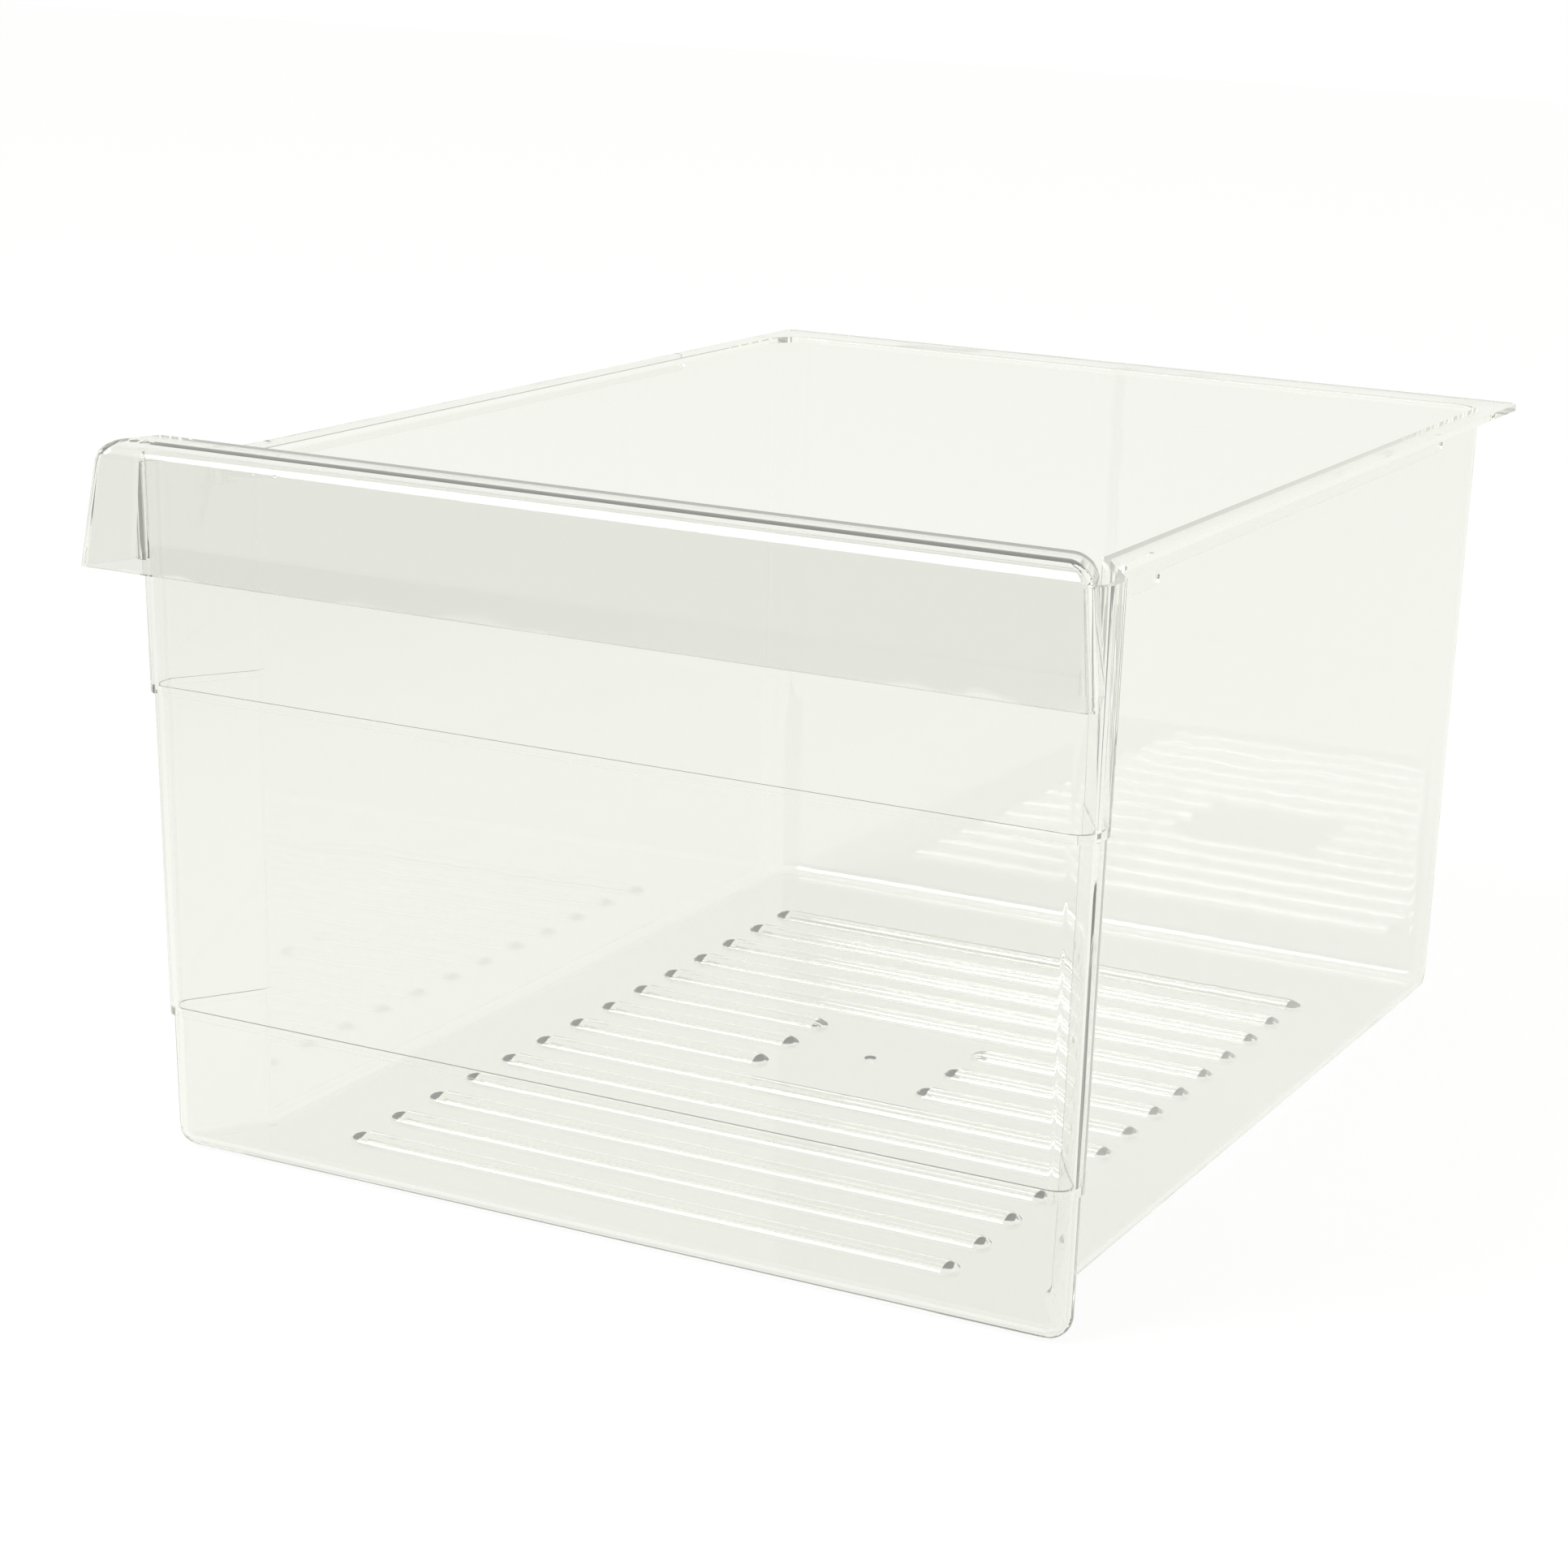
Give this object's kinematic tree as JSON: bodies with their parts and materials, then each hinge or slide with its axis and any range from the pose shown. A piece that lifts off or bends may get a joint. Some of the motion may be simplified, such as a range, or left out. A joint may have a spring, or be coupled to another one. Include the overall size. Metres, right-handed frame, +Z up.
{
  "type": "fridge crisper drawer",
  "caption": "Clear one-piece open-top fridge drawer with a full-width pull skirt, flared stepped front, side runner flanges and a ribbed floor, for keeping fruit and vegetables.",
  "frame": {"origin": "on the resting surface, under the middle of the outside box", "axes": "+Z up, -Y out of the fridge through the front panel, +X to the right of someone facing the front"},
  "size_m": [0.3586, 0.45, 0.247],
  "materials": {
    "clear_plastic": "clear polished polystyrene with a faint warm green tint"
  },
  "bodies": {
    "root": {"crisper_pan": "clear_plastic"}
  },
  "joints": []
}
